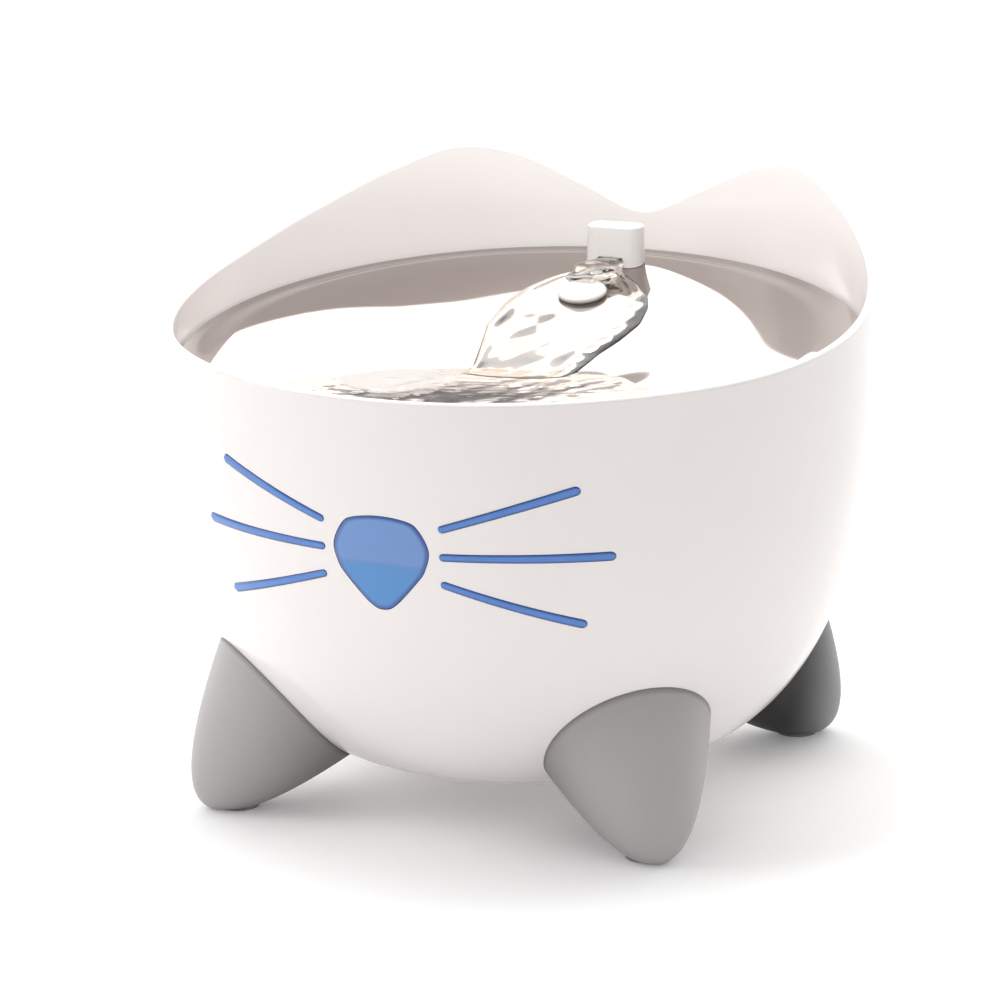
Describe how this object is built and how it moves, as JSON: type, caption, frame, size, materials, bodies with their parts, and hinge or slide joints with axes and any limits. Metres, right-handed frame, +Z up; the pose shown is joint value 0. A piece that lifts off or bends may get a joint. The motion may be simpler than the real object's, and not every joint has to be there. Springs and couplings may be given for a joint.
{
  "type": "pet water fountain",
  "caption": "Free-standing pet water fountain: eared round bowl on leaning feet, steel drinking dish with a rear spout over a pump and filter reservoir.",
  "frame": {"origin": "on the floor under the bowl's vertical axis, which is the centre of the bounding box's bottom", "axes": "+Z up, -Y to the front where the nose window is, +X to the right as seen from the front"},
  "size_m": [0.2404, 0.2414, 0.2029],
  "materials": {
    "bowl_white": "glossy warm white moulded plastic",
    "window_blue": "translucent blue moulded plastic, glossy",
    "seal_rubber": "matt silicone rubber",
    "foot_grey": "satin warm grey moulded plastic",
    "pad_rubber": "matt dark rubber",
    "screw_steel": "bright stainless steel",
    "dish_steel": "polished stainless steel, spun",
    "carrier_white": "satin white moulded plastic",
    "spout_white": "glossy white moulded plastic",
    "tube_silicone": "smooth translucent silicone",
    "tray_white": "satin white moulded plastic",
    "foam_white": "open-cell filter foam",
    "carbon_dark": "fibre pad with activated carbon",
    "resin_amber": "bag of softener beads",
    "pump_grey": "satin dark grey moulded plastic",
    "cover_dark": "satin black moulded plastic",
    "sponge_black": "coarse black filter sponge",
    "knob_blue": "glossy blue moulded plastic",
    "rotor_white": "satin white moulded plastic",
    "magnet_ferrite": "dark sintered ferrite",
    "core_steel": "laminated electrical steel",
    "coil_copper": "enamelled copper wire",
    "cup_rubber": "soft translucent rubber"
  },
  "bodies": {
    "basin": {"bowl": "bowl_white", "nose_window": "window_blue", "nose_gasket": "seal_rubber", "whisker_left_upper": "window_blue", "whisker_left_middle": "window_blue", "whisker_left_lower": "window_blue", "whisker_right_upper": "window_blue", "whisker_right_middle": "window_blue", "whisker_right_lower": "window_blue", "foot_front_left": "foot_grey", "foot_front_right": "foot_grey", "foot_rear_left": "foot_grey", "foot_rear_right": "foot_grey", "foot_pads": "pad_rubber", "foot_screws": "screw_steel", "cable_grommet": "seal_rubber", "pump_housing": "pump_grey", "impeller_cover": "cover_dark", "impeller_shaft": "screw_steel", "shaft_bushes": "pad_rubber", "stator_core": "core_steel", "coil_bobbin": "rotor_white", "coil_winding": "coil_copper", "motor_cap": "cover_dark", "suction_cups": "cup_rubber"},
    "dish_set": {"drinking_dish": "dish_steel", "dish_carrier": "carrier_white", "deflector_button": "spout_white", "button_clip": "screw_steel", "riser_tube": "tube_silicone", "riser_elbows": "tube_silicone"},
    "spout_cap": {"spout": "spout_white"},
    "filter_cup": {"filter_tray": "tray_white", "filter_lid": "tray_white", "filter_foam": "foam_white", "filter_carbon": "carbon_dark", "filter_resin": "resin_amber"},
    "pump_front": {"pump_grille": "pump_grey", "prefilter_sponge": "sponge_black"},
    "flow_dial": {"flow_knob": "knob_blue"},
    "rotor": {"impeller": "rotor_white", "rotor_magnet": "magnet_ferrite"}
  },
  "joints": [
    {"name": "dish_lift", "type": "slide", "parent": "basin", "child": "dish_set", "axis": [0, 0, 1], "range_m": [0, 0.15]},
    {"name": "spout_pull", "type": "slide", "parent": "dish_set", "child": "spout_cap", "axis": [0, 0, 1], "range_m": [0, 0.03]},
    {"name": "filter_drop", "type": "slide", "parent": "dish_set", "child": "filter_cup", "axis": [0, 0.1149, -0.9934], "range_m": [0, 0.04]},
    {"name": "grille_pull", "type": "slide", "parent": "basin", "child": "pump_front", "axis": [0, -1, 0], "range_m": [0, 0.03]},
    {"name": "flow_turn", "type": "hinge", "parent": "pump_front", "child": "flow_dial", "pos_m": [0, 0.003, 0.04195], "axis": [0, -1, 0], "range_deg": [0, 90]},
    {"name": "impeller_spin", "type": "hinge", "parent": "basin", "child": "rotor", "pos_m": [0, 0.036, 0.04195], "axis": [0, 1, 0], "continuous": true}
  ]
}
